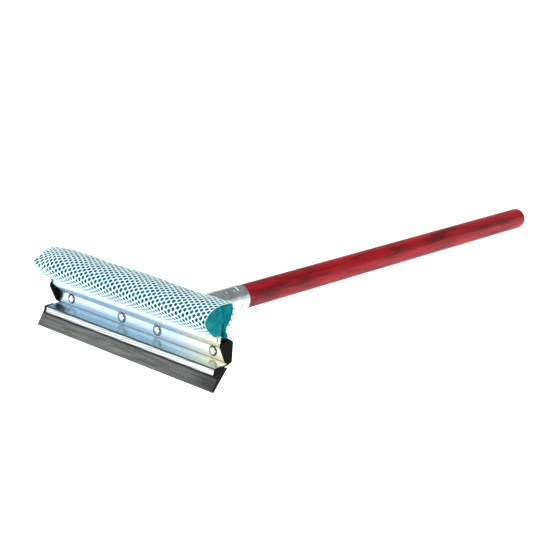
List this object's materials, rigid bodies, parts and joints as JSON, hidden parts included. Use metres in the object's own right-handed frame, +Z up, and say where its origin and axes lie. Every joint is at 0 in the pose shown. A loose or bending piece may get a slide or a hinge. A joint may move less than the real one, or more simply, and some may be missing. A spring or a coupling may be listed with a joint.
{
  "type": "window cleaning squeegee",
  "caption": "Window squeegee: a rubber wiping blade and a net-covered scrubbing sponge clamped between riveted steel plates, on a socketed round wooden handle.",
  "frame": {"origin": "middle of the tool's underside: the centre of its box across X and Y, at the table's height", "axes": "+Z up, +Y from the head along the handle towards its free end, +X along the blade"},
  "size_m": [0.2032, 0.6416, 0.0695],
  "materials": {
    "zinc_plate": "bright zinc-plated steel sheet, faint blue to yellow-green passivation tint",
    "socket_steel": "zinc-plated steel tube, lightly dimpled where it is crimped",
    "rivet_steel": "bright plated rivets",
    "blade_rubber": "matt black moulded rubber, paler where rubbed",
    "cap_rubber": "matt black rubber",
    "teal_foam": "open-cell teal sponge foam",
    "white_net": "white knitted nylon net with round openings",
    "red_wood": "deep red stained and varnished wood, darker streaks"
  },
  "bodies": {
    "root": {"front_plate": "zinc_plate", "back_plate": "zinc_plate", "handle_socket": "socket_steel", "rivet_outer_left": "rivet_steel", "rivet_inner_left": "rivet_steel", "rivet_inner_right": "rivet_steel", "rivet_outer_right": "rivet_steel", "rubber_blade": "blade_rubber", "end_cap_left": "cap_rubber", "end_cap_right": "cap_rubber", "sponge_foam": "teal_foam", "net_cover": "white_net", "wood_handle": "red_wood"}
  },
  "joints": []
}
